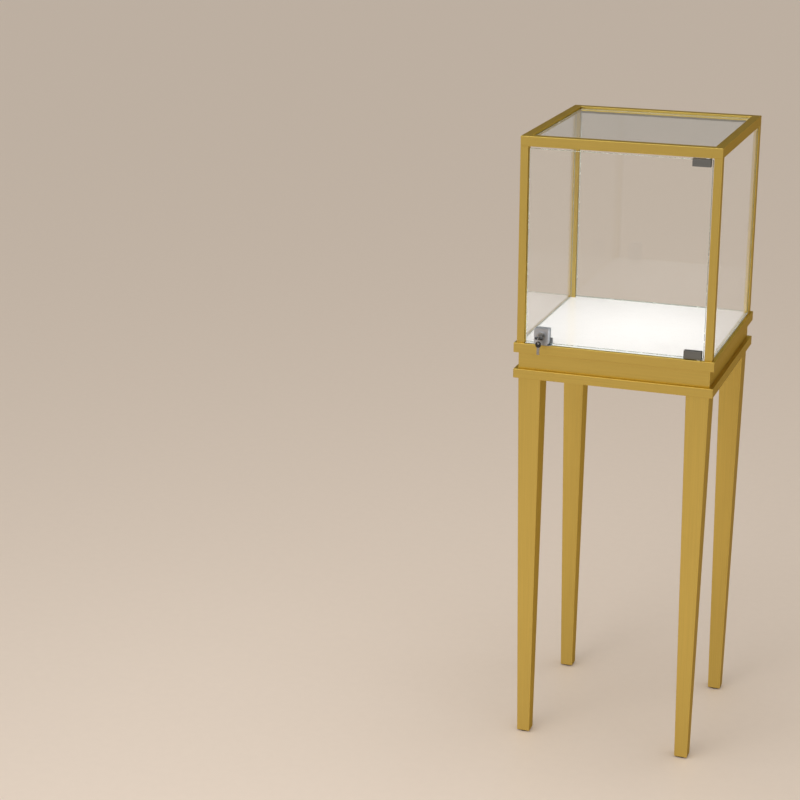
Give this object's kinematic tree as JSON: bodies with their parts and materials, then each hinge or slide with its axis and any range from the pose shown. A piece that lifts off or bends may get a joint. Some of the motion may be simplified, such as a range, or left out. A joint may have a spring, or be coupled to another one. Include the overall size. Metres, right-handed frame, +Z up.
{
  "type": "glass display showcase",
  "caption": "Tall glazed display showcase with a hinged, locking glass door, white deck and interior light, on a tapered four-legged stand.",
  "frame": {"origin": "on the floor under the middle of the case", "axes": "+Z up, +X to the right seen from the door, door faces -Y"},
  "size_m": [0.41, 0.4414, 1.3],
  "materials": {
    "gold_steel": "brushed, gold tinted",
    "clear_glass": "polished",
    "white_deck": "gloss",
    "zinc_steel": "zinc plated",
    "lock_steel": "satin",
    "lock_cylinder": "satin",
    "hinge_steel": "satin",
    "pin_steel": "bright",
    "black_plastic": "matte",
    "key_plastic": "satin",
    "white_plastic": "matte",
    "nylon": "matte",
    "rubber": "matte",
    "clear_seal": "satin",
    "aluminium": "anodised",
    "led_board": "matte",
    "led_diffuser": "satin",
    "wire_sheath": "satin"
  },
  "bodies": {
    "case": {"leg_front_left": "gold_steel", "leg_front_right": "gold_steel", "leg_rear_left": "gold_steel", "leg_rear_right": "gold_steel", "leg_glides": "black_plastic", "leg_plates": "zinc_steel", "leg_bolts": "zinc_steel", "stand_rail_front": "gold_steel", "stand_rail_right": "gold_steel", "stand_rail_rear": "gold_steel", "stand_rail_left": "gold_steel", "plinth_front": "gold_steel", "plinth_right": "gold_steel", "plinth_rear": "gold_steel", "plinth_left": "gold_steel", "plinth_floor": "zinc_steel", "ledge_front": "gold_steel", "ledge_right": "gold_steel", "ledge_rear": "gold_steel", "ledge_left": "gold_steel", "deck_bearers": "zinc_steel", "deck": "white_deck", "post_front_left": "gold_steel", "post_front_right": "gold_steel", "post_rear_left": "gold_steel", "post_rear_right": "gold_steel", "top_rail_front": "gold_steel", "top_rail_right": "gold_steel", "top_rail_rear": "gold_steel", "top_rail_left": "gold_steel", "glass_left": "clear_glass", "glass_right": "clear_glass", "glass_rear": "clear_glass", "glass_top": "clear_glass", "pane_gaskets": "clear_seal", "top_gasket": "clear_seal", "led_channel": "aluminium", "led_strip": "led_board", "led_diffuser": "led_diffuser", "led_driver": "white_plastic", "led_wires": "wire_sheath", "power_inlet": "black_plastic", "hinge_bush_top": "nylon", "hinge_bush_bottom": "nylon", "lock_strike": "lock_steel", "fixing_screws": "zinc_steel"},
    "door": {"door_glass": "clear_glass", "hinge_clip_top": "hinge_steel", "hinge_clip_bottom": "hinge_steel", "hinge_pins": "pin_steel", "door_pads": "rubber", "clip_screws": "pin_steel", "lock_body": "lock_steel", "lock_back_plate": "lock_steel", "lock_screws": "pin_steel"},
    "lock_cylinder": {"lock_cylinder": "lock_cylinder"},
    "lock_bolt": {"lock_bolt": "pin_steel"},
    "key": {"key": "key_plastic"},
    "key_ring": {"key_ring": "pin_steel"},
    "spare_key": {"spare_key": "key_plastic"}
  },
  "joints": [
    {"name": "door_swing", "type": "hinge", "parent": "case", "child": "door", "pos_m": [0.172, -0.1945, 0.879], "axis": [0, 0, 1], "range_deg": [0, 110]},
    {"name": "key_turn", "type": "hinge", "parent": "door", "child": "lock_cylinder", "pos_m": [-0.146, -0.213, 0.899], "axis": [0, 1, 0], "range_deg": [0, 90]},
    {"name": "bolt_slide", "type": "slide", "parent": "door", "child": "lock_bolt", "axis": [0, 0, -1], "range_m": [0, 0.008]},
    {"name": "key_draw", "type": "slide", "parent": "lock_cylinder", "child": "key", "axis": [0, -1, 0], "range_m": [0, 0.025]},
    {"name": "ring_swing", "type": "hinge", "parent": "key", "child": "key_ring", "pos_m": [-0.146, -0.23025, 0.9005], "axis": [1, 0, 0], "range_deg": [-12, 12]},
    {"name": "spare_key_swing", "type": "hinge", "parent": "key_ring", "child": "spare_key", "pos_m": [-0.146, -0.23025, 0.8906], "axis": [0, 1, 0], "range_deg": [-25, 25]}
  ],
  "couplings": [
    {"joint": "bolt_slide", "follows": "key_turn", "m_per_rad": 0.005093}
  ]
}
